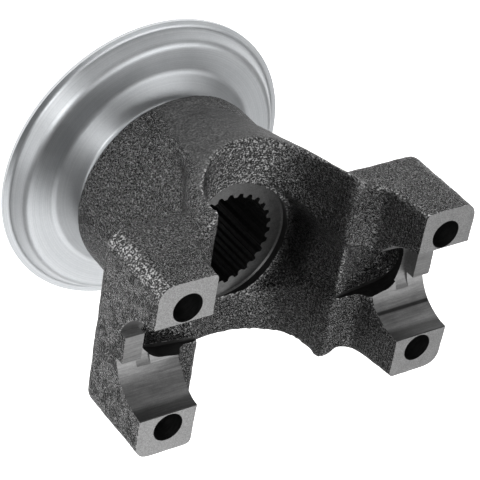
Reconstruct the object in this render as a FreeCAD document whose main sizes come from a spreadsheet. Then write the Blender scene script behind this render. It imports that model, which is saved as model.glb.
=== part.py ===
import FreeCAD, Part
import math
import os
import Sketcher

# Pinion yoke: a cast yoke with two bearing ears and a dust shield pressed on its hub.
# Frame: Z is the spline axis, with the hub's end face at Z = 0 and the ears upward.
# X is the bearing axis, which runs through the four pads' plane.

doc = FreeCAD.newDocument("pinion_yoke")
sheet = doc.addObject("Spreadsheet::Sheet", "Sizes")

# Driving dimensions in mm, degrees or counts.
SIZES = (
    # Heights above the hub's end face
    ("pad_height", 90.0, "hub end to the pads and the bearing axis"),
    ("ear_depth", 24.4, "pads to the back of the ears, where the nuts sit"),
    ("washer_depth", 38.2, "pads down to the washer seat"),
    ("barrel_foot", 24.4, "hub end to the foot of the cast barrel"),
    # Bearing ears
    ("seat_length", 10.58, "locating tab to the ear's inner face"),
    ("tab_length", 5.12, "locating tab to the ear's outer face"),
    ("ear_width", 51.0, "width of an ear"),
    ("ear_corner", 4.0, "rounding of the ears' outer corners"),
    ("ear_edge", 2.0, "rounding of the ears' back edges"),
    ("ear_inside", 1.2, "rounding of the ears' inner corners"),
    ("ear_lean", 1.6, "lean of an ear's inner face from its root to the pads"),
    # Bearing seats
    ("cap_bore", 26.98, "diameter of the bearing caps"),
    ("saddle_break", 0.2, "chamfer between saddle and pads"),
    ("tab_span", 81.76, "span between the locating tabs"),
    ("tab_width", 7.6, "width of a locating tab"),
    ("tab_depth", 10.4, "pads down to the top of a tab"),
    ("relief_bore", 20.4, "diameter of the milled relief beside a tab"),
    ("relief_drop", 4.2, "pads down to the centre of that relief"),
    ("relief_width", 3.8, "width of that relief"),
    # Strap bolts
    ("bolt_inset", 3.19, "locating tab in to the holes"),
    ("bolt_pitch", 35.8, "hole spacing across one ear"),
    ("bolt_hole", 8.0, "diameter of the holes"),
    # Cast trough under each saddle
    ("trough_inset", 1.28, "locating tab in to the outer end of a trough"),
    ("trough_wide", 15.2, "width of a trough at the throat"),
    ("trough_narrow", 11.0, "width of a trough at its outer end"),
    ("trough_shallow", 15.8, "pads down to a trough's floor at the throat"),
    ("trough_deep", 21.0, "pads down to its floor at the outer end"),
    # Throat between the arms
    ("throat_drop", 18.2, "pads down to the centre of the throat"),
    ("crest_round", 3.2, "rounding from the throat up onto each ledge"),
    ("ledge_flat", 1.2, "flat of each ledge between its two roundings"),
    ("root_round", 4.8, "hollow rounding from the ledge up to that face"),
    # Webs at the two sides of the body
    ("shell_wall", 4.1, "wall of the webs round the throat"),
    ("column_width", 24.4, "width of the webs at the barrel"),
    ("column_top", 36.0, "hub end to where the webs start to spread"),
    ("web_foot", 26.0, "radius to the webs' sides at the barrel's foot"),
    ("web_head", 35.4, "radius to the webs' sides at the ledges"),
    # Hub
    ("barrel_radius", 27.3, "radius of the cast barrel"),
    ("barrel_round", 1.5, "rounding at the barrel's foot"),
    ("journal_bore", 44.4, "diameter of the seal journal"),
    ("shield_bore", 45.6, "diameter of the shield's seat on the hub"),
    ("shield_seat", 5.4, "length of that seat"),
    ("hub_break", 1.2, "chamfer at the hub's end"),
    # Nut space in the bottom of the throat
    ("washer_face", 35.8, "diameter of the washer seat"),
    ("washer_wall", 2.2, "height of the turned wall round the washer seat"),
    ("nut_step", 1.4, "width of the step at the top of that wall"),
    ("nut_flare", 3.4, "how much wider the nut space is at the ledges than at the step"),
    # Internal spline
    ("spline_minor", 26.34, "diameter over the tooth tips"),
    ("spline_major", 28.5, "diameter at the roots"),
    ("spline_count", 28, "number of teeth"),
    ("spline_lead", 1.6, "depth of the lead-in chamfer at the hub's end"),
    # Stamped dust shield
    ("sheet", 0.9, "thickness of the shield"),
    ("cone_radius", 29.6, "radius at the foot of the shield's cone"),
    ("collar_depth", 3.2, "barrel's foot down to the top of the cone"),
    ("cone_drop", 7.1, "barrel's foot down to the shield's flat"),
    ("wall_run", 2.5, "flat's edge out to the foot of the outer wall"),
    ("wall_drop", 4.4, "flat down to the rim"),
    ("rim_width", 1.75, "width of the rim outside that wall"),
    ("rim_radius", 41.95, "outer radius of the rim"),
)

for row, (alias, number, meaning) in enumerate(SIZES, start=1):
    sheet.set("A%d" % row, meaning)
    sheet.set("B%d" % row, str(number))
    sheet.setAlias("B%d" % row, alias)
doc.recompute()


class Size:
    """A number, with the formula that gives it from the sheet."""

    def __init__(self, number, formula):
        self.number = float(number)
        self.formula = formula

    def join(self, other, sign, number):
        return Size(number, "(%s %s %s)" % (self.formula, sign, other.formula))

    def __add__(self, other):
        other = sized(other)
        return self.join(other, "+", self.number + other.number)

    def __sub__(self, other):
        other = sized(other)
        return self.join(other, "-", self.number - other.number)

    def __mul__(self, other):
        other = sized(other)
        return self.join(other, "*", self.number * other.number)

    def __truediv__(self, other):
        other = sized(other)
        return self.join(other, "/", self.number / other.number)

    def __neg__(self):
        return Size(-self.number, "(0 - %s)" % self.formula)

    def root(self):
        return Size(math.sqrt(self.number), "sqrt(%s)" % self.formula)


def sized(value):
    """Turn a plain number into a Size."""
    return value if isinstance(value, Size) else Size(value, repr(float(value)))


def size(alias):
    """Read a Size from the sheet."""
    return Size(sheet.get(alias), "Sizes.%s" % alias)


def half(alias):
    return size(alias) / 2


ZERO = sized(0)
STOCK = sized(10)
LAP = sized(1)
SPLINE_LAP = sized(0.4)
PRESSURE_ANGLE = 30.0
TINY = 0.01
ADDING = ("Pad", "Revolution")


class Outline:
    """Closed outlines in one sketch, every corner held by a formula."""

    def __init__(self, body, name, role, offset=ZERO):
        self.sketch = body.newObject("Sketcher::SketchObject", name)
        plane = [p for p in body.Origin.OriginFeatures if p.Role == role][0]
        self.sketch.AttachmentSupport = [(plane, "")]
        self.sketch.MapMode = "FlatFace"
        self.sketch.AttachmentOffset = FreeCAD.Placement(
            FreeCAD.Vector(0, 0, offset.number), FreeCAD.Rotation())
        self.sketch.setExpression(".AttachmentOffset.Base.z", offset.formula)

    def hold(self, geometry, corner, point):
        """Hold one corner at its place."""
        for kind, place in zip(("DistanceX", "DistanceY"), point):
            number = self.sketch.addConstraint(
                Sketcher.Constraint(kind, -1, 1, geometry, corner, place.number))
            self.sketch.setExpression("Constraints[%d]" % number, place.formula)

    def loop(self, corners):
        """Draw a closed outline.

        A corner is (across, up), or (across, up, radius, bulge) when an arc leads to the
        next corner. A bulge of +1 keeps the arc's centre on the left of its chord.
        """
        points = [(sized(c[0]), sized(c[1])) for c in corners]
        made = []
        for here, corner in enumerate(corners):
            start = vector(points[here])
            end = vector(points[(here + 1) % len(points)])
            if len(corner) == 2:
                made.append((self.sketch.addGeometry(Part.LineSegment(start, end), False), 1, 2))
                continue
            radius = sized(corner[2])
            chord = end - start
            lift = math.sqrt(max(radius.number ** 2 - (chord.Length / 2) ** 2, 0.0))
            left = FreeCAD.Vector(-chord.y, chord.x, 0).normalize()
            centre = (start + end) / 2 + left * lift * corner[3]
            circle = Part.Circle(centre, FreeCAD.Vector(0, 0, 1), radius.number)
            if corner[3] > 0:
                arc = Part.ArcOfCircle(circle, angle(start - centre), angle(end - centre))
                ends = (1, 2)
            else:
                arc = Part.ArcOfCircle(circle, angle(end - centre), angle(start - centre))
                ends = (2, 1)
            geometry = self.sketch.addGeometry(arc, False)
            number = self.sketch.addConstraint(
                Sketcher.Constraint("Radius", geometry, radius.number))
            self.sketch.setExpression("Constraints[%d]" % number, radius.formula)
            made.append((geometry,) + ends)
        for here, (geometry, first, last) in enumerate(made):
            following = made[(here + 1) % len(made)]
            self.sketch.addConstraint(
                Sketcher.Constraint("Coincident", geometry, last, following[0], following[1]))
            self.hold(geometry, first, points[here])
        return self

    def circle(self, across, up, diameter):
        """Draw a full circle."""
        across, up, diameter = sized(across), sized(up), sized(diameter)
        place = FreeCAD.Vector(across.number, up.number, 0)
        ring = Part.Circle(place, FreeCAD.Vector(0, 0, 1), diameter.number / 2)
        geometry = self.sketch.addGeometry(ring, False)
        number = self.sketch.addConstraint(
            Sketcher.Constraint("Diameter", geometry, diameter.number))
        self.sketch.setExpression("Constraints[%d]" % number, diameter.formula)
        self.hold(geometry, 3, (across, up))
        return self

    def raised(self, height):
        """Lift the whole sketch along its own upright axis."""
        self.sketch.setExpression(".AttachmentOffset.Base.y", height.formula)
        return self


def vector(point):
    return FreeCAD.Vector(point[0].number, point[1].number, 0)


def angle(direction):
    return math.atan2(direction.y, direction.x)


def mirrored(corners):
    """The same outline on the other side of the sketch's upright axis."""
    return [(-sized(c[0]),) + tuple(c[1:2]) + ((c[2], -c[3]) if len(c) > 2 else ()) for c in corners]


def feature(body, kind, name, outline, **settings):
    """Add a feature made from an outline, and make it the body's latest."""
    before = body.Shape.Volume if body.Tip else 0.0
    made = body.newObject("PartDesign::" + kind, name)
    made.Profile = outline.sketch
    for key, value in settings.items():
        if isinstance(value, Size):
            made.setExpression(key, value.formula)
        elif key == "ReferenceAxis":
            made.ReferenceAxis = (outline.sketch, [value])
        else:
            setattr(made, key, value)
    body.Tip = made
    doc.recompute()
    grown = body.Shape.Volume - before
    if grown * (1 if kind in ADDING else -1) < 0:
        raise RuntimeError("%s went the wrong way: %.1f mm3" % (name, grown))
    return made


def edges_where(body, wanted):
    """Names of the edges whose every sample point passes the test."""
    names = []
    for index, edge in enumerate(body.Shape.Edges, start=1):
        if all(wanted(point) for point in edge.discretize(5)):
            names.append("Edge%d" % index)
    return names


def round_off(body, name, wanted, radius):
    """Round the edges whose points pass the test."""
    base = body.Tip
    names = edges_where(body, wanted)
    made = body.newObject("PartDesign::Fillet", name)
    made.Base = (base, names)
    made.setExpression("Radius", radius.formula)
    body.Tip = made
    doc.recompute()
    return made


# Yoke casting

pads = size("pad_height")
back = pads - size("ear_depth")
washer_level = pads - size("washer_depth")
throat_level = pads - size("throat_drop")
tab_reach = half("tab_span")
inner = tab_reach - size("seat_length")
ear = tab_reach + size("tab_length")
root = inner - size("ear_lean")
root_round = size("root_round")
crest = size("crest_round")
throat = root - root_round - size("ledge_flat") - crest
foot = size("barrel_foot")
barrel = size("barrel_radius")
ledge_level = throat_level + crest
above_all = pads + STOCK

yoke = doc.addObject("PartDesign::Body", "yoke")
yoke.Label = "yoke"

# Webs: a shell round the throat, with a column from it down each side of the barrel
column = half("column_width")
shell = throat + size("shell_wall")
web_bottom = foot + LAP
spread_start = size("column_top")
# The arc from the column's upright side meets the shell's circle without a corner.
rise = throat_level - spread_start
spread = ((column * column) + (rise * rise) - (shell * shell)) / ((shell - column) * 2)
meet_x = shell * (column + spread) / (shell + spread)
meet_z = throat_level - shell * rise / (shell + spread)
web_right = [
    (column, web_bottom),
    (column, spread_start, spread, -1),
    (meet_x, meet_z, shell, 1),
    (shell, throat_level),
    (shell, ledge_level),
]
web_left = [
    (-shell, ledge_level),
    (-shell, throat_level, shell, 1),
    (-meet_x, meet_z, spread, -1),
    (-column, spread_start),
    (-column, web_bottom),
]
web_head = size("web_head")
feature(yoke, "Pad", "Webs", Outline(yoke, "WebOutline", "XZ_Plane").loop(web_right + web_left),
        Midplane=True, Length=(web_head + LAP) * 2)

# Their sides lie on one cone round the spline axis, narrowing down into the barrel.
web_foot = size("web_foot")
flare = (web_head - web_foot) / (ledge_level - web_bottom)
beyond = web_head + shell
web_side = [
    (web_foot - flare * LAP, web_bottom - LAP),
    (beyond, web_bottom - LAP),
    (beyond, ledge_level + LAP),
    (web_head + flare * LAP, ledge_level + LAP),
]
feature(yoke, "Groove", "WebSides", Outline(yoke, "WebSideOutline", "XZ_Plane").loop(web_side),
        ReferenceAxis="V_Axis", Angle=360.0)

# Hub, turned below the barrel's foot and cast above it
journal = half("journal_bore")
seat = half("shield_bore")
seat_end = foot - size("shield_seat")
barrel_round = size("barrel_round")
hub_break = size("hub_break")
barrel_top = back + size("ear_edge")
hub_side = [
    (ZERO, ZERO),
    (journal - hub_break, ZERO),
    (journal, hub_break),
    (journal, seat_end),
    (seat, seat_end),
    (seat, foot),
    (barrel - barrel_round, foot, barrel_round, 1),
    (barrel, foot + barrel_round),
    (barrel, barrel_top),
    (ZERO, barrel_top),
]
feature(yoke, "Revolution", "Hub", Outline(yoke, "HubOutline", "XZ_Plane").loop(hub_side),
        ReferenceAxis="V_Axis", Angle=360.0)

# Throat through both webs
throat_outline = [
    (throat, above_all),
    (throat, throat_level, throat, -1),
    (ZERO, throat_level - throat, throat, -1),
    (-throat, throat_level),
    (-throat, above_all),
]
feature(yoke, "Pocket", "Throat", Outline(yoke, "ThroatOutline", "XZ_Plane").loop(throat_outline),
        Midplane=True, Type="ThroughAll")

# Ears, straight blocks with rounded outer corners, from the middle of the webs' wall outward
ear_start = (throat + shell) / 2
ear_side = half("ear_width")
corner = size("ear_corner")
ear_outline = [
    (ear_start, -ear_side),
    (ear - corner, -ear_side, corner, 1),
    (ear, -ear_side + corner),
    (ear, ear_side - corner, corner, 1),
    (ear - corner, ear_side),
    (ear_start, ear_side),
]
feature(yoke, "Pad", "Ears",
        Outline(yoke, "EarOutline", "XY_Plane", pads).loop(ear_outline).loop(mirrored(ear_outline)),
        Reversed=True, Length=size("ear_depth"))

# A ledge in each arm, with the ear's inner face above it
in_throat = throat - LAP
ledge_outline = [
    (inner, above_all),
    (inner, pads),
    (root, ledge_level + root_round, root_round, -1),
    (root - root_round, ledge_level),
    (throat + crest, ledge_level, crest, 1),
    (throat, throat_level),
    (in_throat, throat_level),
    (in_throat, above_all),
]
feature(yoke, "Pocket", "Ledges",
        Outline(yoke, "LedgeOutline", "XZ_Plane").loop(ledge_outline).loop(mirrored(ledge_outline)),
        Midplane=True, Type="ThroughAll")


def on_ear_back(point):
    """The outer rim of the ears' backs."""
    at_back = abs(point.z - back.number) < TINY
    return at_back and abs(point.x) > barrel.number


def on_ear_inside(point):
    """The upright edges at the ears' inner corners."""
    off_side = abs(abs(point.y) - ear_side.number)
    above_root = point.z > ledge_level.number + root_round.number - TINY
    return off_side < TINY and above_root and abs(point.x) < inner.number + TINY


round_off(yoke, "EarEdges", on_ear_back, size("ear_edge"))
round_off(yoke, "EarInsides", on_ear_inside, size("ear_inside"))

# Saddles for the bearing caps, each with a chamfered rim and a locating tab at its outer end
cap = half("cap_bore")
saddle_break = size("saddle_break")
lip = ((cap * cap) - (saddle_break * saddle_break)).root()
mouth = lip + saddle_break
tab = half("tab_width")
tab_foot = pads - ((cap * cap) - (tab * tab)).root()
tab_top = pads - size("tab_depth")
saddle = [
    (mouth, above_all),
    (mouth, pads),
    (lip, pads - saddle_break, cap, -1),
    (ZERO, pads - cap, cap, -1),
    (-lip, pads - saddle_break),
    (-mouth, pads),
    (-mouth, above_all),
]
saddle_at_tab = saddle[:3] + [
    (tab, tab_foot),
    (tab, tab_top),
    (-tab, tab_top),
    (-tab, tab_foot, cap, -1),
] + saddle[4:]
feature(yoke, "Pocket", "Saddles", Outline(yoke, "SaddleOutline", "YZ_Plane").loop(saddle),
        Midplane=True, Length=tab_reach * 2)
feature(yoke, "Pocket", "SaddleEnds",
        Outline(yoke, "SaddleEndOutline", "YZ_Plane").loop(saddle_at_tab),
        Midplane=True, Type="ThroughAll")

# Milled relief inside each tab
relief = half("relief_bore")
relief_start = tab_reach - size("relief_width")
relief_axis = pads - size("relief_drop")
relief_outline = [
    (relief_start, ZERO),
    (tab_reach, ZERO),
    (tab_reach, relief),
    (relief_start, relief),
]
feature(yoke, "Groove", "Reliefs",
        Outline(yoke, "ReliefOutline", "XZ_Plane").loop(relief_outline)
        .loop(mirrored(relief_outline)).raised(relief_axis),
        ReferenceAxis="H_Axis", Angle=360.0)

# Cast trough from the throat into each saddle's bottom, deeper toward its rounded end
trough_end = half("trough_narrow")
trough_mouth = half("trough_wide")
trough_round = tab_reach - size("trough_inset") - trough_end
trough_top = pads - size("relief_drop")
for side_name, mouth_place, end_place in (
    ("Right", in_throat, trough_round),
    ("Left", -in_throat, -trough_round),
):
    sections = []
    for place, width, drop in (
        (mouth_place, trough_mouth, size("trough_shallow")),
        (end_place, trough_end, size("trough_deep")),
    ):
        sections.append(Outline(yoke, "TroughSection", "YZ_Plane", place).loop([
            (-width, pads - drop),
            (width, pads - drop),
            (width, trough_top),
            (-width, trough_top),
        ]))
    feature(yoke, "SubtractiveLoft", "Trough" + side_name, sections[0],
            Sections=[sections[1].sketch], Ruled=True)
feature(yoke, "Pocket", "TroughEnds",
        Outline(yoke, "TroughEndOutline", "XY_Plane", pads)
        .circle(trough_round, ZERO, size("trough_narrow"))
        .circle(-trough_round, ZERO, size("trough_narrow")),
        Length=size("trough_deep"))

# Strap bolt holes
bolt_x = tab_reach - size("bolt_inset")
bolt_y = half("bolt_pitch")
holes = Outline(yoke, "BoltOutline", "XY_Plane", pads)
for across in (bolt_x, -bolt_x):
    for up in (bolt_y, -bolt_y):
        holes.circle(across, up, size("bolt_hole"))
feature(yoke, "Pocket", "BoltHoles", holes, Type="ThroughAll")

# Nut space, turned at the washer seat and cast above it, where it widens into both arms
washer = half("washer_face")
nut_foot = washer + size("nut_step")
nut_level = washer_level + size("washer_wall")
nut_slope = size("nut_flare") / (ledge_level - nut_level)
nut_head = nut_foot + nut_slope * (above_all - nut_level)
nut_outline = [
    (ZERO, washer_level),
    (washer, washer_level),
    (washer, nut_level),
    (nut_foot, nut_level),
    (nut_head, above_all),
    (ZERO, above_all),
]
feature(yoke, "Groove", "NutSpace", Outline(yoke, "NutOutline", "XZ_Plane").loop(nut_outline),
        ReferenceAxis="V_Axis", Angle=360.0)

# Bore and internal spline
feature(yoke, "Pocket", "Bore",
        Outline(yoke, "BoreOutline", "XY_Plane", pads).circle(ZERO, ZERO, size("spline_minor")),
        Type="ThroughAll")
minor = half("spline_minor")
major = half("spline_major")
# Tooth and space are equally wide halfway up the flanks, which lean at the pressure angle.
space_half = (minor + major) * (math.pi / 4) / size("spline_count")
flank_half = (major - minor) * math.tan(math.radians(PRESSURE_ANGLE)) / 2
minor_in = minor - SPLINE_LAP
space = feature(yoke, "Pocket", "SplineSpace",
                Outline(yoke, "SplineOutline", "XY_Plane", washer_level).loop([
                    (-(space_half + flank_half), minor_in),
                    (space_half + flank_half, minor_in),
                    (space_half - flank_half, major),
                    (-(space_half - flank_half), major),
                ]), Type="ThroughAll")
spline = yoke.newObject("PartDesign::PolarPattern", "Spline")
spline.Originals = [space]
spline.Axis = (space.Profile[0], ["N_Axis"])
spline.Angle = 360.0
spline.setExpression("Occurrences", size("spline_count").formula)
yoke.Tip = spline
doc.recompute()
lead = major + size("spline_lead")
lead_outline = [
    (ZERO, ZERO),
    (lead, ZERO),
    (minor_in, lead - minor_in),
    (ZERO, lead - minor_in),
]
feature(yoke, "Groove", "SplineLead", Outline(yoke, "LeadOutline", "XZ_Plane").loop(lead_outline),
        ReferenceAxis="V_Axis", Angle=360.0)

# Dust shield, pressed on the hub against the barrel's foot
shield = doc.addObject("PartDesign::Body", "dust_shield")
shield.Label = "dust_shield"
gauge = size("sheet")
collar = seat + gauge
cone = size("cone_radius")
rim = size("rim_radius")
rim_in = rim - size("rim_width")
wall_run = size("wall_run")
flat = rim_in - wall_run
cone_top = foot - size("collar_depth")
flat_level = foot - size("cone_drop")
rim_level = flat_level - size("wall_drop")
# Underneath, each fold lies where the sheet keeps its gauge on both sides of it.
cone_run = cone - collar
cone_fall = cone_top - flat_level
cone_slant = ((cone_run * cone_run) + (cone_fall * cone_fall)).root()
wall_fall = size("wall_drop")
wall_slant = ((wall_run * wall_run) + (wall_fall * wall_fall)).root()
collar_shift = gauge * cone_run / (cone_slant + cone_fall)
cone_shift = gauge * cone_fall / (cone_slant + cone_run)
wall_shift = gauge * wall_fall / (wall_slant + wall_run)
stamping = [
    (seat, foot),
    (seat, cone_top - collar_shift),
    (cone - cone_shift, flat_level - gauge),
    (flat - wall_shift, flat_level - gauge),
    (rim_in - wall_shift, rim_level - gauge),
    (rim, rim_level - gauge),
    (rim, rim_level),
    (rim_in, rim_level),
    (flat, flat_level),
    (cone, flat_level),
    (collar, cone_top),
    (collar, foot),
]
feature(shield, "Revolution", "Stamping", Outline(shield, "ShieldOutline", "XZ_Plane").loop(stamping),
        ReferenceAxis="V_Axis", Angle=360.0)

# Check every object, then write each piece
for made in doc.Objects:
    if "Invalid" in made.State or "Error" in made.State:
        raise RuntimeError("%s failed: %s" % (made.Name, made.State))
os.makedirs("parts", exist_ok=True)
for body in (yoke, shield):
    shape = body.Shape
    if shape.isNull() or not shape.isValid() or len(shape.Solids) != 1:
        raise RuntimeError("%s has no sound shape" % body.Label)
    body.Placement = FreeCAD.Placement()
    shape.exportStep("parts/%s.step" % body.Label)
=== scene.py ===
import math

import bmesh
import bpy
from mathutils import Matrix, Vector


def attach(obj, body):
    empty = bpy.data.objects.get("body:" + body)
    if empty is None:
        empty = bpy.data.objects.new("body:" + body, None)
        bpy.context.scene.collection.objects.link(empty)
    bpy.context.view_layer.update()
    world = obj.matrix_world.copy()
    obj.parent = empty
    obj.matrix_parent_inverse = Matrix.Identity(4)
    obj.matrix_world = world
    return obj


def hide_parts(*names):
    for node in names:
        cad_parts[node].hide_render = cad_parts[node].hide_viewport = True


# Looks of a cast pinion yoke with a pressed-on dust shield.
# Frame: Z is the spline axis and the hub's end stands on the floor, X is the bearing axis.
# Sizes are in mm and are turned into metres where a mesh is made.

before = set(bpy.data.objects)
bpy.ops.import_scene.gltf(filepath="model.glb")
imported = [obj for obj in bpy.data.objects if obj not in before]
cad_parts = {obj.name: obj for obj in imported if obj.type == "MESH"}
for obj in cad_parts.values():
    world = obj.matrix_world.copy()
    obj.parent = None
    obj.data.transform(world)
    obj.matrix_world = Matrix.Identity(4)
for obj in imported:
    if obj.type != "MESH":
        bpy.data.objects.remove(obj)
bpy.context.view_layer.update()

MM = 0.001

# Sizes of the yoke, as the CAD part has them
PADS = 90.0
EAR_BACK = PADS - 24.4
EAR_REACH = 46.0
EAR_WIDTH = 51.0
EAR_CORNER = 4.0
EAR_INNER = 30.3
CAP_RADIUS = 13.49
SADDLE_BREAK = 0.2
TAB_REACH = 40.88
TAB_HALF = 3.8
TAB_TOP = PADS - 10.4
RELIEF_RADIUS = 10.2
RELIEF_AXIS = PADS - 4.2
RELIEF_WIDTH = 3.8
BOLT_X = 37.69
BOLT_Y = 17.9
BOLT_RADIUS = 4.0
TROUGH_START = 18.5
TROUGH_END = 34.1
TROUGH_MOUTH_HALF = 7.6
TROUGH_END_HALF = 5.5
THROAT_RADIUS = 19.5
THROAT_AXIS = PADS - 18.2
WASHER_LEVEL = PADS - 38.2
WASHER_RADIUS = 17.9
WASHER_WALL = 2.2
NUT_FOOT = 19.3
NUT_LEAN = 0.094
MINOR_RADIUS = 13.17
MAJOR_RADIUS = 14.25
TEETH = 28
LEAD_RADIUS = 15.85
BARREL_FOOT = 24.4
JOURNAL_RADIUS = 22.2
SEAT_RADIUS = 22.8
SEAT_END = 19.0
HUB_BREAK = 1.2

# Sizes of the dust shield's upper side, as radius and height
SHEET = 0.9
COLLAR_TOP = (23.7, 24.4)
CONE_TOP = (23.7, 21.2)
CONE_FOOT = (29.6, 17.3)
FLAT_EDGE = (37.7, 17.3)
WALL_FOOT = (40.2, 12.9)
RIM_EDGE = (41.95, 12.9)

# Sizes that only the looks have
TROUGH_BREAK = 1.2
TROUGH_BREAK_FOOT = 74.2
SEAT_CORNER = 0.4
SADDLE_LIP = 0.6
FOLD_RADII = [0.9, 3.4, 2.6, 1.2]

# How the casting is finished
VOXEL = 0.58
SMOOTHING = 10
WEB_SMOOTHING = 24
WEB_EDGE_X = (21, 26)
WEB_EDGE_Z = (28, 34)
NUT_EDGE_RADIUS = (22, 25)
NUT_EDGE_SHARE = 0.85
CAST_SHARP = 42
SHEET_SHARP = 50
STOCK = 3.0
SKIN = 0.1
BEYOND = 60.0

# Where finishes, painted light and painted shade change: the two places between which one fades into the
# other
PRESSED_Y = (25.2, 27.2)
NUT_SHADE = (0.3, 1.0)
NUT_SHADE_X = (15.0, 19.0)
FLOOR_X = (12.0, 22.0)
FLOOR_Y = (17.0, 20.0)
CORNER_X = (40.0, 42.0)
SADDLE_TOP = (85.0, 87.5)
DARK_BAND_FOOT = (81.2, 81.6)
DARK_BAND_TOP = (82.0, 82.4)


def rgb(r, g, b):
    return (r, g, b, 1.0)


# Mesh helpers


def mesh_object(name, verts, faces, materials):
    mesh = bpy.data.meshes.new(name)
    mesh.from_pydata([[c * MM for c in v] for v in verts], [], faces)
    bm = bmesh.new()
    bm.from_mesh(mesh)
    bmesh.ops.recalc_face_normals(bm, faces=bm.faces)
    bm.to_mesh(mesh)
    bm.free()
    made = bpy.data.objects.new(name, mesh)
    bpy.context.scene.collection.objects.link(made)
    for material in materials:
        mesh.materials.append(material)
    return made


def prism(name, outline, start, end, axis, material):
    """A closed outline drawn across an axis and extruded along it from start to end."""
    place = {
        "X": lambda u, v, along: (along, u, v),
        "Y": lambda u, v, along: (u, along, v),
        "Z": lambda u, v, along: (u, v, along),
    }[axis]
    count = len(outline)
    verts = [place(u, v, along) for along in (start, end) for u, v in outline]
    faces = [tuple(range(count)), tuple(range(count, 2 * count))]
    for i in range(count):
        j = (i + 1) % count
        faces.append((i, j, count + j, count + i))
    return mesh_object(name, verts, faces, [material])


def lathe(name, profile, steps, material, axis="Z", height=0.0, side=1):
    """A closed profile of (radius, along) turned about an axis; radii may be zero at its ends."""
    verts, rings = [], []
    for radius, along in profile:
        if radius < 1e-6:
            rings.append([len(verts)])
            verts.append((0.0, 0.0, along))
            continue
        ring = []
        for k in range(steps):
            turn = 2 * math.pi * k / steps
            ring.append(len(verts))
            verts.append((radius * math.cos(turn), radius * math.sin(turn), along))
        rings.append(ring)
    faces = []
    for here, ring in enumerate(rings):
        following = rings[(here + 1) % len(rings)]
        for k in range(steps):
            corners = [ring[k % len(ring)], ring[(k + 1) % steps % len(ring)],
                       following[(k + 1) % steps % len(following)], following[k % len(following)]]
            corners = list(dict.fromkeys(corners))
            if len(corners) > 2:
                faces.append(tuple(corners))
    if axis == "X":
        verts = [(side * z, y, height + x) for x, y, z in verts]
    return mesh_object(name, verts, faces, [material])


def arc(centre, radius, start, end, steps):
    """Points on an arc, from one angle to another, in degrees."""
    points = []
    for k in range(steps + 1):
        turn = math.radians(start + (end - start) * k / steps)
        points.append((centre[0] + radius * math.cos(turn), centre[1] + radius * math.sin(turn)))
    return points


def apply_modifiers(target):
    graph = bpy.context.evaluated_depsgraph_get()
    done = bpy.data.meshes.new_from_object(target.evaluated_get(graph))
    old = target.data
    target.modifiers.clear()
    target.data = done
    done.name = old.name
    bpy.data.meshes.remove(old)


def combine(target, other, operation):
    """Cut a solid from the target or add it; its faces bring their own material along."""
    step = target.modifiers.new(operation, "BOOLEAN")
    step.solver = "MANIFOLD"
    step.material_mode = "TRANSFER"
    step.operation = operation
    step.object = other
    apply_modifiers(target)
    bpy.data.objects.remove(other)


def weld(target):
    bm = bmesh.new()
    bm.from_mesh(target.data)
    bmesh.ops.remove_doubles(bm, verts=bm.verts, dist=1e-6)
    bm.to_mesh(target.data)
    bm.free()


# Materials


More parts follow.
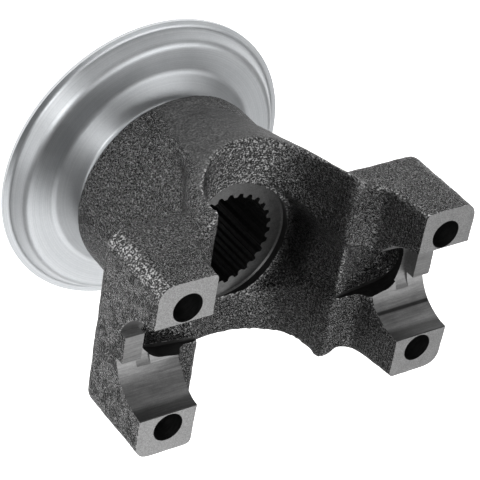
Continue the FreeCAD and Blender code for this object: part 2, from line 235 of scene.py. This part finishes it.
class Nodes:
    """Short names for building a node tree."""

    def __init__(self, name):
        self.material = bpy.data.materials.new(name)
        self.material.use_nodes = True
        self.tree = self.material.node_tree
        self.shader = self.tree.nodes["Principled BSDF"]
        self.place = self.add("ShaderNodeTexCoord").outputs["Object"]

    def add(self, kind, **settings):
        node = self.tree.nodes.new(kind)
        for key, value in settings.items():
            setattr(node, key, value)
        return node

    def join(self, source, target):
        self.tree.links.new(source, target)

    def noise(self, size_mm, detail=2.0, rough=0.5, stretch=(1, 1, 1)):
        """Noise with features of about that many millimetres."""
        mapping = self.add("ShaderNodeMapping")
        mapping.inputs["Scale"].default_value = [s / (size_mm * MM) for s in stretch]
        self.join(self.place, mapping.inputs["Vector"])
        node = self.add("ShaderNodeTexNoise")
        node.inputs["Scale"].default_value = 1.0
        node.inputs["Detail"].default_value = detail
        node.inputs["Roughness"].default_value = rough
        self.join(mapping.outputs["Vector"], node.inputs["Vector"])
        return node.outputs["Fac"]

    def glints(self, size_mm):
        """Small round spots of painted highlight, one to a cell of about that many millimetres, of
        uneven strength.
        """
        mapping = self.add("ShaderNodeMapping")
        mapping.inputs["Scale"].default_value = [1 / (size_mm * MM)] * 3
        self.join(self.place, mapping.inputs["Vector"])
        node = self.add("ShaderNodeTexVoronoi")
        self.join(mapping.outputs["Vector"], node.inputs["Vector"])
        spot = self.calc("SUBTRACT", 1.0, self.rise(node.outputs["Distance"], 0.18, 0.50))
        strength = self.rise(self.part(node.outputs["Color"], "X"), 0.35, 1.0)
        return self.calc("MULTIPLY", spot, strength)

    def ramp(self, source, stops):
        node = self.add("ShaderNodeValToRGB")
        while len(node.color_ramp.elements) < len(stops):
            node.color_ramp.elements.new(0.5)
        for element, (position, colour) in zip(node.color_ramp.elements, stops):
            element.position = position
            element.color = colour if isinstance(colour, tuple) else rgb(colour, colour, colour)
        self.join(source, node.inputs["Fac"])
        return node.outputs["Color"]

    def calc(self, operation, first, second=0.0):
        node = self.add("ShaderNodeMath", operation=operation)
        for socket, value in zip(node.inputs, (first, second)):
            if isinstance(value, (int, float)):
                socket.default_value = value
            else:
                self.join(value, socket)
        return node.outputs[0]

    def rise(self, source, low, high):
        """0 below low, 1 above high, smooth between them."""
        node = self.add("ShaderNodeMapRange", interpolation_type="SMOOTHSTEP")
        node.inputs["From Min"].default_value = low
        node.inputs["From Max"].default_value = high
        self.join(source, node.inputs["Value"])
        return node.outputs["Result"]

    def rise_mm(self, source, places):
        """0 below the first place and 1 above the second, both in millimetres."""
        return self.rise(source, places[0] * MM, places[1] * MM)

    def mix(self, factor, first, second):
        node = self.add("ShaderNodeMix", data_type="RGBA")
        sockets = {s.identifier: s for s in node.inputs}
        self.join(factor, sockets["Factor_Float"])
        for socket, value in ((sockets["A_Color"], first), (sockets["B_Color"], second)):
            if isinstance(value, tuple):
                socket.default_value = value
            else:
                self.join(value, socket)
        return [s for s in node.outputs if s.identifier == "Result_Color"][0]

    def bump(self, height, depth_mm, strength=1.0, below=None):
        node = self.add("ShaderNodeBump")
        node.inputs["Distance"].default_value = depth_mm * MM
        node.inputs["Strength"].default_value = strength
        self.join(height, node.inputs["Height"])
        if below is not None:
            self.join(below, node.inputs["Normal"])
        return node.outputs["Normal"]

    def part(self, vector, axis):
        node = self.add("ShaderNodeSeparateXYZ")
        self.join(vector, node.inputs[0])
        return node.outputs[axis]

    def set(self, **values):
        for key, value in values.items():
            socket = self.shader.inputs[key.replace("_", " ")]
            if isinstance(value, (int, float, tuple)):
                socket.default_value = value
            else:
                self.join(value, socket)
        return self.material


def casting_material():
    """Dark shot-blasted iron: fine grain with painted glints, smoother where the die pressed it flat;
    painted shade in the nut space and painted light on the throat's floor, the ears' corners and the
    edges.
    """
    n = Nodes("cast_iron_grain")
    geometry = n.add("ShaderNodeNewGeometry")
    normal = geometry.outputs["True Normal"]
    normal_y = n.calc("ABSOLUTE", n.part(normal, "Y"))
    # The webs' flat sides stand out beyond the barrel and face along Y.
    out = n.rise_mm(n.calc("ABSOLUTE", n.part(n.place, "Y")), PRESSED_Y)
    pressed = n.calc("MULTIPLY", n.rise(normal_y, 0.80, 0.93), out)
    # Painted shade darkens the nut space and, more weakly, the arms' faces that look inward.
    x, y = n.part(n.place, "X"), n.part(n.place, "Y")
    reach = n.calc("ABSOLUTE", x)
    radius = n.calc("SQRT", n.calc("ADD", n.calc("MULTIPLY", x, x), n.calc("MULTIPLY", y, y)))
    above_foot = n.calc("SUBTRACT", n.part(n.place, "Z"), (WASHER_LEVEL + WASHER_WALL) * MM)
    wall = n.calc("SUBTRACT", radius, n.calc("MULTIPLY", above_foot, NUT_LEAN))
    painted_shade = n.calc("SUBTRACT", 1.0, n.rise_mm(wall, [NUT_FOOT + shade for shade in NUT_SHADE]))
    painted_shade = n.calc("MULTIPLY", painted_shade, n.rise_mm(reach, NUT_SHADE_X))
    facing = n.calc("MULTIPLY", n.part(normal, "X"), n.calc("SIGN", x))
    inward = n.calc("SUBTRACT", 1.0, n.rise(facing, -0.85, -0.60))
    painted_shade = n.calc("MAXIMUM", painted_shade, n.calc("MULTIPLY", inward, 0.6))
    # Painted light brightens the throat's floor and painted highlights the ears' round corners; all
    # edges are brightened too, partly as bare wear and partly as painted highlight.
    throat_floor_light = n.calc("MULTIPLY", n.rise(n.part(normal, "Z"), 0.70, 0.95),
                          n.calc("SUBTRACT", 1.0, n.rise_mm(reach, FLOOR_X)))
    throat_floor_light = n.calc("MULTIPLY", throat_floor_light, n.calc("SUBTRACT", 1.0, n.rise_mm(y, FLOOR_Y)))
    slant = n.calc("MULTIPLY", n.calc("ABSOLUTE", n.part(normal, "X")), normal_y)
    # Painted highlight on the ears' round corners.
    corner = n.calc("MULTIPLY", n.rise(slant, 0.15, 0.40), n.rise_mm(reach, CORNER_X))
    wear_and_highlight = n.calc("MAXIMUM", n.rise(geometry.outputs["Pointiness"], 0.509, 0.54),
                  n.calc("MAXIMUM", n.calc("MULTIPLY", throat_floor_light, 0.7), corner))
    grain = n.noise(0.48, 1.0, 0.45)
    glints = n.glints(0.56)
    coarse = n.noise(2.6, 3.0, 0.55)
    patches = n.noise(14.0, 3.0, 0.5)
    depth = n.calc("SUBTRACT", 1.0, n.calc("MULTIPLY", pressed, 0.6))
    wide = n.bump(coarse, 0.5, 1.0)
    fine = n.bump(n.calc("MULTIPLY", grain, depth), 0.7, 1.0, wide)
    tone = n.calc("ADD", n.calc("MULTIPLY", grain, 0.85), n.calc("MULTIPLY", patches, 0.15))
    dark = n.ramp(tone, [(0.42, 0.002), (0.50, 0.009), (0.58, 0.045), (0.66, 0.200)])
    # Painted glints: small bright spots in the grain's colour.
    dark = n.mix(glints, dark, rgb(0.95, 0.95, 0.95))
    light = n.ramp(tone, [(0.36, 0.042), (0.50, 0.075), (0.66, 0.125)])
    # Colour of the painted light and highlights, and of the edges' bare wear.
    wear_and_highlight_colour = n.ramp(tone, [(0.40, 0.025), (0.52, 0.120), (0.62, 0.500)])
    # Near-black colour of the painted shade.
    shade_colour = n.ramp(tone, [(0.40, 0.002), (0.62, 0.024)])
    colour = n.mix(painted_shade, n.mix(wear_and_highlight, n.mix(pressed, dark, light), wear_and_highlight_colour), shade_colour)
    roughness = n.calc("ADD", 0.28, n.calc("MULTIPLY", coarse, 0.20))
    return n.set(Base_Color=colour, Metallic=0.7, Roughness=roughness, Normal=fine,
                 Specular_Tint=rgb(0.4, 0.4, 0.4))


def machined_material(name, tone, roughness, line_mm, stretch, depth_mm, sandy=0.2, bands=False):
    """A cut face with fine tool lines along the axis with the least stretch, or a sandy speckle.

    With bands, a painted dark reflection darkens the face under the pads' edge, and a dark band crosses
    it at -X.
    """
    n = Nodes(name)
    lines = n.noise(line_mm, 3.0, 0.6, stretch)
    cloud = n.noise(2.2, 3.0, 0.6)
    speckle = n.noise(0.35, 1.0, 0.5)
    mixed = n.calc("ADD", n.calc("MULTIPLY", lines, 0.75 - sandy),
                   n.calc("ADD", n.calc("MULTIPLY", cloud, 0.25), n.calc("MULTIPLY", speckle, sandy)))
    tones = [(0.30, tone * 0.66), (0.50, tone), (0.66, tone * 1.35)]
    if bands:
        z = n.part(n.place, "Z")
        # Painted dark reflection under the pads' edge.
        top = n.rise_mm(z, SADDLE_TOP)
        # A dark band across the face, at -X only.
        dark_band = n.calc("SUBTRACT", n.rise_mm(z, DARK_BAND_FOOT), n.rise_mm(z, DARK_BAND_TOP))
        dark_band = n.calc("MULTIPLY", dark_band, n.calc("LESS_THAN", n.part(n.place, "X"), 0.0))
        shade = n.calc("MAXIMUM", n.calc("MULTIPLY", top, 0.75), n.calc("MULTIPLY", dark_band, 0.85))
        colour = n.mix(shade, n.ramp(mixed, tones), rgb(0.005, 0.005, 0.005))
    else:
        colour = n.ramp(mixed, tones)
    rough = n.calc("ADD", roughness - 0.07, n.calc("MULTIPLY", cloud, 0.14))
    bump = n.bump(lines, depth_mm, 0.6)
    return n.set(Base_Color=colour, Metallic=0.8, Roughness=rough, Normal=bump)


def bore_material(name, tone):
    """A drilled or broached wall, dark and oily; in the troughs it stands for painted shade."""
    n = Nodes(name)
    rings = n.noise(0.5, 2.0, 0.5, (0.3, 0.3, 1.0))
    colour = n.ramp(rings, [(0.3, tone * 0.6), (0.7, tone * 1.3)])
    rough = n.calc("ADD", 0.35, n.calc("MULTIPLY", rings, 0.2))
    return n.set(Base_Color=colour, Metallic=0.6, Roughness=rough, Normal=n.bump(rings, 0.04, 0.5))


def zinc_material():
    """Bright zinc plate, brushed in circles round the spline axis."""
    n = Nodes("zinc_plate")
    x, y = n.part(n.place, "X"), n.part(n.place, "Y")
    radius = n.calc("SQRT", n.calc("ADD", n.calc("MULTIPLY", x, x), n.calc("MULTIPLY", y, y)))
    flat = n.add("ShaderNodeCombineXYZ")
    n.join(radius, flat.inputs[0])
    n.join(n.part(n.place, "Z"), flat.inputs[1])
    rings = n.add("ShaderNodeTexNoise")
    rings.inputs["Scale"].default_value = 1 / (0.22 * MM)
    rings.inputs["Detail"].default_value = 3.0
    n.join(flat.outputs[0], rings.inputs["Vector"])
    cloud = n.noise(9.0, 3.0, 0.6)
    speckle = n.noise(0.4, 1.0, 0.5)
    mixed = n.calc("ADD", n.calc("MULTIPLY", rings.outputs["Fac"], 0.5),
                   n.calc("ADD", n.calc("MULTIPLY", cloud, 0.3), n.calc("MULTIPLY", speckle, 0.2)))
    colour = n.ramp(mixed, [(0.32, rgb(0.42, 0.435, 0.45)), (0.52, rgb(0.50, 0.515, 0.53)),
                            (0.70, rgb(0.58, 0.595, 0.605))])
    rough = n.calc("ADD", 0.38, n.calc("MULTIPLY", cloud, 0.12))
    bump = n.bump(rings.outputs["Fac"], 0.012, 0.5)
    tangent = n.add("ShaderNodeTangent", direction_type="RADIAL", axis="Z")
    n.join(tangent.outputs[0], n.shader.inputs["Tangent"])
    return n.set(Base_Color=colour, Metallic=1.0, Roughness=rough, Normal=bump, Anisotropic=0.6,
                 Anisotropic_Rotation=0.25)


casting = casting_material()
# Near-black painted shade for the troughs' upper walls.
trough_shade = bore_material("painted_trough_shade", 0.012)
pad_face = machined_material("machined_pads", 0.22, 0.45, 0.5, (1.0, 0.25, 1.0), 0.02, 0.6)
saddle_face = machined_material("machined_saddles", 0.18, 0.46, 0.45, (0.08, 1.0, 1.0), 0.03, bands=True)
washer_face = machined_material("washer_seat", 0.09, 0.38, 0.4, (1.0, 1.0, 1.0), 0.02)
hub_face = machined_material("turned_hub", 0.34, 0.34, 0.3, (0.1, 0.1, 1.0), 0.015)
drilled = bore_material("drilled_holes", 0.02)
splined = bore_material("splined_bore", 0.018)
zinc = zinc_material()

# Casting: the CAD yoke with stock left on every machined face, then rounded and roughened

cast = bpy.data.objects.new("yoke_casting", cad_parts["yoke"].data.copy())
bpy.context.scene.collection.objects.link(cast)
cast.data.materials.clear()
cast.data.materials.append(casting)
weld(cast)


def fill(solid):
    combine(cast, solid, "UNION")


def cut(solid):
    combine(cast, solid, "DIFFERENCE")


def block(name, low, high, material):
    """A wide block across the whole part, between two heights."""
    square = [(-BEYOND, -BEYOND), (BEYOND, -BEYOND), (BEYOND, BEYOND), (-BEYOND, BEYOND)]
    return prism(name, square, low, high, "Z", material)


def ear_top(side):
    """The outline of an ear, seen from above."""
    half = EAR_WIDTH / 2
    outline = [(EAR_INNER, -half)]
    outline += arc((EAR_REACH - EAR_CORNER, -half + EAR_CORNER), EAR_CORNER, -90, 0, 8)
    outline += arc((EAR_REACH - EAR_CORNER, half - EAR_CORNER), EAR_CORNER, 0, 90, 8)
    outline += [(EAR_INNER, half)]
    return [(side * x, y) for x, y in outline]


def trough_plan(side, wider=0.0):
    """The outline of a trough, seen from above; a wider one keeps its end where it is."""
    outline = [(TROUGH_START, -TROUGH_MOUTH_HALF - wider)]
    outline += arc((TROUGH_END - wider, 0), TROUGH_END_HALF + wider, -90, 90, 24)
    outline += [(TROUGH_START, TROUGH_MOUTH_HALF + wider)]
    return [(side * x, y) for x, y in outline]


above = PADS + STOCK
beyond = above + STOCK
lip = math.sqrt(CAP_RADIUS ** 2 - SADDLE_BREAK ** 2)
mouth = lip + SADDLE_BREAK + SADDLE_LIP
for side in (1, -1):
    fill(prism("stock", ear_top(side), PADS - 0.5, above, "Z", casting))
    ends = sorted((side * (EAR_INNER - 0.2), side * (EAR_REACH - 0.02)))
    outline = [(mouth, above), (mouth, PADS)] + arc((0, PADS), CAP_RADIUS + SKIN, 0, -180, 32)
    outline += [(-mouth, PADS), (-mouth, above)]
    stock = prism("stock", outline, ends[0], ends[1], "X", casting)
    trough = prism("trough", trough_plan(side), EAR_BACK, beyond, "Z", casting)
    combine(stock, trough, "DIFFERENCE")
    fill(stock)
    for across in (1, -1):
        ring = arc((side * BOLT_X, across * BOLT_Y), BOLT_RADIUS + SKIN, 0, 345, 23)
        fill(prism("stock", ring, EAR_BACK + SKIN, above, "Z", casting))
inside = WASHER_RADIUS + SKIN
plug = lathe("stock", [(0, -2), (inside, -2), (inside, WASHER_LEVEL + WASHER_WALL),
                       (0, WASHER_LEVEL + WASHER_WALL)], 96, casting)
channel = arc((0, THROAT_AXIS), THROAT_RADIUS, 180, 360, 64)
channel += [(THROAT_RADIUS, above), (-THROAT_RADIUS, above)]
combine(plug, prism("channel", channel, -BEYOND, BEYOND, "Y", casting), "DIFFERENCE")
fill(plug)
outside = SEAT_RADIUS + STOCK / 2
fill(lathe("stock", [(0, -2), (outside, -2), (outside, BARREL_FOOT + SKIN), (0, BARREL_FOOT + SKIN)],
           96, casting))

step = cast.modifiers.new("grid", "REMESH")
step.mode = "VOXEL"
step.voxel_size = VOXEL * MM
step.use_smooth_shade = True
apply_modifiers(cast)


def fade(value, start, end):
    """1 before the start, 0 after the end."""
    return min(1.0, max(0.0, (end - value) / (end - start)))


# The webs are rounded more than the ears and the barrel, and the nut space's wall hardly more.
webs = cast.vertex_groups.new(name="webs")
for vertex in cast.data.vertices:
    x, y, z = (c / MM for c in vertex.co)
    weight = fade(abs(x), *WEB_EDGE_X) * (1 - fade(z, *WEB_EDGE_Z))
    weight *= 1 - NUT_EDGE_SHARE * fade(math.hypot(x, y), *NUT_EDGE_RADIUS)
    if weight > 0:
        webs.add([vertex.index], weight, "REPLACE")
step = cast.modifiers.new("rounded", "SMOOTH")
step.factor = 0.5
step.iterations = SMOOTHING
step = cast.modifiers.new("webs_rounded", "SMOOTH")
step.factor = 0.5
step.iterations = WEB_SMOOTHING
step.vertex_group = "webs"
for wave_mm, depth_mm in ((9.0, 0.30), (2.4, 0.16)):
    wave = bpy.data.textures.new("waves", "CLOUDS")
    wave.noise_scale = wave_mm * MM
    wave.noise_depth = 1
    step = cast.modifiers.new("waves", "DISPLACE")
    step.texture = wave
    step.texture_coords = "LOCAL"
    step.strength = depth_mm * MM
    step.mid_level = 0.5
apply_modifiers(cast)
cast.vertex_groups.clear()

# Machining: pads, saddles, reliefs, bolt holes, washer seat, spline and hub; the troughs' rims are cut
# wider and take painted shade

cut(block("pads_cut", PADS, beyond, pad_face))
lean = math.degrees(math.asin(SADDLE_BREAK / CAP_RADIUS))
bottom = math.degrees(math.acos(TAB_HALF / CAP_RADIUS))
right = [(mouth, beyond), (mouth, PADS + SADDLE_LIP)] + arc((0, PADS), CAP_RADIUS, -lean, -bottom, 28)
middle = arc((0, PADS), CAP_RADIUS, -bottom, bottom - 180, 14)[1:-1]
left = [(-u, v) for u, v in reversed(right)]
tab = [(TAB_HALF, TAB_TOP), (-TAB_HALF, TAB_TOP)]
cut(prism("saddle_cut", right + middle + left, -TAB_REACH, TAB_REACH, "X", saddle_face))
for side in (1, -1):
    ends = sorted((side * TAB_REACH, side * BEYOND))
    cut(prism("saddle_cut", right + tab + left, ends[0], ends[1], "X", saddle_face))
    broken = trough_plan(side, TROUGH_BREAK)
    # The troughs' upper walls are cut wider and coloured near-black: painted shade in the troughs.
    cut(prism("trough_break", broken, TROUGH_BREAK_FOOT, beyond, "Z", trough_shade))
    relief = [(0, TAB_REACH - RELIEF_WIDTH), (RELIEF_RADIUS, TAB_REACH - RELIEF_WIDTH),
              (RELIEF_RADIUS, TAB_REACH), (0, TAB_REACH)]
    cut(lathe("relief_cut", relief, 96, saddle_face, "X", RELIEF_AXIS, side))
    for across in (1, -1):
        ring = arc((side * BOLT_X, across * BOLT_Y), BOLT_RADIUS, 0, 352.5, 47)
        cut(prism("bolt_cut", ring, EAR_BACK - STOCK, beyond, "Z", drilled))
corner_top = WASHER_LEVEL + SEAT_CORNER
cut(lathe("nut_space_cut", [(0, corner_top), (WASHER_RADIUS, corner_top), (WASHER_RADIUS, beyond),
                            (0, beyond)], 128, drilled))
cut(lathe("washer_cut", [(0, WASHER_LEVEL), (WASHER_RADIUS - SEAT_CORNER, WASHER_LEVEL),
                         (WASHER_RADIUS, corner_top), (0, corner_top + 1)], 128, washer_face))

pitch = 360 / TEETH
flank = math.degrees((MAJOR_RADIUS - MINOR_RADIUS) * math.tan(math.radians(30)) / 2 / MAJOR_RADIUS)
space = []
for tooth in range(TEETH):
    centre = 90 + tooth * pitch
    space += arc((0, 0), MAJOR_RADIUS, centre - pitch / 4 + flank, centre + pitch / 4 - flank, 2)
    space += arc((0, 0), MINOR_RADIUS, centre + pitch / 4 + flank, centre + 3 * pitch / 4 - flank, 2)
cut(prism("spline_cut", space, -10, WASHER_LEVEL + 5, "Z", splined))
lead_in = [(0, -5), (LEAD_RADIUS + 5, -5), (MINOR_RADIUS - 1, LEAD_RADIUS - MINOR_RADIUS + 1),
           (0, LEAD_RADIUS - MINOR_RADIUS + 1)]
cut(lathe("lead_cut", lead_in, 96, hub_face))
cut(block("face_cut", -10, 0, hub_face))
hub = [(JOURNAL_RADIUS - HUB_BREAK, -1), (JOURNAL_RADIUS - HUB_BREAK, 0), (JOURNAL_RADIUS, HUB_BREAK),
       (JOURNAL_RADIUS, SEAT_END), (SEAT_RADIUS, SEAT_END), (SEAT_RADIUS, BARREL_FOOT),
       (SEAT_RADIUS + STOCK, BARREL_FOOT), (SEAT_RADIUS + STOCK, -1)]
cut(lathe("hub_cut", hub, 128, hub_face))

for polygon in cast.data.polygons:
    polygon.use_smooth = True
cast.data.set_sharp_from_angle(angle=math.radians(CAST_SHARP))
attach(cast, "root")
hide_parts("yoke")

# Dust shield: one sheet profile with rounded folds, turned about the axis


def rounded(points, radii):
    """A polyline with its inner corners replaced by arcs of the given radii."""
    made = [Vector(points[0])]
    for here in range(1, len(points) - 1):
        corner = Vector(points[here])
        back = (Vector(points[here - 1]) - corner).normalized()
        forward = (Vector(points[here + 1]) - corner).normalized()
        turn = math.pi - back.angle(forward)
        reach = radii[here - 1] * math.tan(turn / 2)
        start, end = corner + back * reach, corner + forward * reach
        for k in range(7):
            t = k / 6
            made.append(start * (1 - t) ** 2 + corner * 2 * t * (1 - t) + end * t * t)
    made.append(Vector(points[-1]))
    return made


def offset(line, distance):
    """The line moved sideways by a distance."""
    moved = []
    for here, point in enumerate(line):
        before, after = line[max(here - 1, 0)], line[min(here + 1, len(line) - 1)]
        along = (after - before).normalized()
        moved.append(point + Vector((along.y, -along.x)) * distance)
    return moved


upper = rounded([COLLAR_TOP, CONE_TOP, CONE_FOOT, FLAT_EDGE, WALL_FOOT, RIM_EDGE], FOLD_RADII)
lower = offset(upper, SHEET)
profile = [tuple(p) for p in upper] + [tuple(p) for p in reversed(lower)]
shield = lathe("dust_shield_plate", profile, 192, zinc)
for polygon in shield.data.polygons:
    polygon.use_smooth = True
shield.data.set_sharp_from_angle(angle=math.radians(SHEET_SHARP))
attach(shield, "root")
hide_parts("dust_shield")

# Floor, light and camera

bpy.ops.mesh.primitive_plane_add(size=6.0, location=(0, 0, 0))
floor = bpy.context.object
floor.name = "floor"
n = Nodes("floor_white")
n.set(Base_Color=rgb(0.9, 0.9, 0.9), Roughness=0.9)
glow = n.add("ShaderNodeEmission")
glow.inputs["Color"].default_value = rgb(1, 1, 1)
glow.inputs["Strength"].default_value = 0.85
both = n.add("ShaderNodeAddShader")
seen = n.add("ShaderNodeMixShader")
path = n.add("ShaderNodeLightPath")
n.join(n.shader.outputs[0], both.inputs[0])
n.join(glow.outputs[0], both.inputs[1])
shown = n.calc("MAXIMUM", path.outputs["Is Camera Ray"], path.outputs["Is Glossy Ray"])
shown = n.calc("MAXIMUM", shown, path.outputs["Is Transmission Ray"])
n.join(shown, seen.inputs[0])
n.join(n.shader.outputs[0], seen.inputs[1])
n.join(both.outputs[0], seen.inputs[2])
n.join(seen.outputs[0], n.tree.nodes["Material Output"].inputs["Surface"])
floor.data.materials.append(n.material)

world = bpy.context.scene.world or bpy.data.worlds.new("studio")
bpy.context.scene.world = world
world.use_nodes = True
background = world.node_tree.nodes["Background"]
background.inputs["Color"].default_value = rgb(1, 1, 1)
background.inputs["Strength"].default_value = 0.22

TARGET = Vector((0.0, 0.0, 0.05))
LAMP_DISTANCE = 0.9


def softbox(name, direction, size, power):
    lamp = bpy.data.lights.new(name, "AREA")
    lamp.shape = "DISK"
    lamp.size = size
    lamp.energy = power
    made = bpy.data.objects.new(name, lamp)
    bpy.context.scene.collection.objects.link(made)
    away = Vector(direction).normalized()
    made.location = TARGET + away * LAMP_DISTANCE
    made.rotation_euler = away.to_track_quat("Z", "Y").to_euler()


softbox("top", (-0.40, -0.07, 0.91), 0.8, 5.0)
softbox("key", (0.67, -0.41, 0.62), 0.4, 3.0)
softbox("side", (0.99, 0.0, 0.14), 0.4, 0.6)
softbox("back", (-0.16, 0.72, 0.68), 0.8, 3.2)

camera = bpy.data.objects.new("camera", bpy.data.cameras.new("camera"))
bpy.context.scene.collection.objects.link(camera)
camera.data.lens = 149.77
camera.data.sensor_width = 36.0
camera.data.clip_start = 0.01
camera.matrix_world = Matrix((
    (-0.82439, -0.22158, 0.52085, 0.25911),
    (-0.14664, -0.80516, -0.57464, -0.29065),
    (0.54670, -0.55010, 0.63127, 0.37221),
    (0.0, 0.0, 0.0, 1.0),
))
bpy.context.scene.camera = camera
bpy.context.scene.view_settings.view_transform = "Standard"
